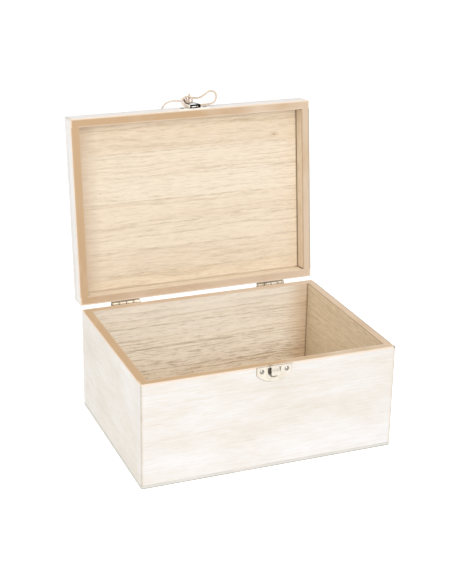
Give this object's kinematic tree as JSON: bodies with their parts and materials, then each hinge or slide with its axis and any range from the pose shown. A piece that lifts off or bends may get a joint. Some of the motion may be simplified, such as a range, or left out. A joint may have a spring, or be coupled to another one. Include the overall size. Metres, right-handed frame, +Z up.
{
  "type": "hinged wooden keepsake box",
  "caption": "Rectangular wooden box with a hinged lid standing open, a swinging hasp and catch plate on the front, and a loop of twine tied at the latch.",
  "frame": {"origin": "middle of the base board's underside, on the surface the box stands on", "axes": "+Z up, the catch plate faces -Y, the hinges are at +Y, +X to the right seen from the front; the lid is open at rest"},
  "size_m": [0.25, 0.2392, 0.3027],
  "materials": {
    "whitewashed_wood": "paulownia board, sanded, white stain wiped on outside, bare inside",
    "plywood_base": "thin plywood, sanded and wiped with white stain",
    "nickel_plate": "pressed steel sheet, bright nickel plated",
    "hinge_plate": "pressed steel sheet with a pale brassy nickel plate",
    "plated_screws": "nickel plated wood screws",
    "steel_brads": "plain drawn steel",
    "jute_twine": "natural two-ply jute twine"
  },
  "bodies": {
    "box": {"box_front_wall": "whitewashed_wood", "box_back_wall": "whitewashed_wood", "box_left_wall": "whitewashed_wood", "box_right_wall": "whitewashed_wood", "box_base_board": "plywood_base", "base_brads": "steel_brads", "hinge_left_box_leaf": "hinge_plate", "hinge_right_box_leaf": "hinge_plate", "hinge_pins": "hinge_plate", "hinge_box_screws": "plated_screws", "catch_plate": "nickel_plate", "catch_screws": "plated_screws"},
    "lid": {"lid_front_rail": "whitewashed_wood", "lid_back_rail": "whitewashed_wood", "lid_left_rail": "whitewashed_wood", "lid_right_rail": "whitewashed_wood", "lid_top_panel": "whitewashed_wood", "hinge_left_lid_leaf": "hinge_plate", "hinge_right_lid_leaf": "hinge_plate", "hinge_lid_screws": "plated_screws", "latch_plate": "nickel_plate", "latch_pin": "nickel_plate", "latch_screws": "plated_screws", "twine_knot": "jute_twine", "twine_loop": "jute_twine", "twine_tail": "jute_twine"},
    "hasp": {"latch_hasp": "nickel_plate"}
  },
  "joints": [
    {"name": "lid_hinge", "type": "hinge", "parent": "box", "child": "lid", "pos_m": [0, 0.095, 0.10315], "axis": [1, 0, 0], "range_deg": [0, 96.3]},
    {"name": "hasp_hinge", "type": "hinge", "parent": "lid", "child": "hasp", "pos_m": [0.0017, 0.11802, 0.29207], "axis": [1, 0, 0], "range_deg": [0, 180]}
  ]
}
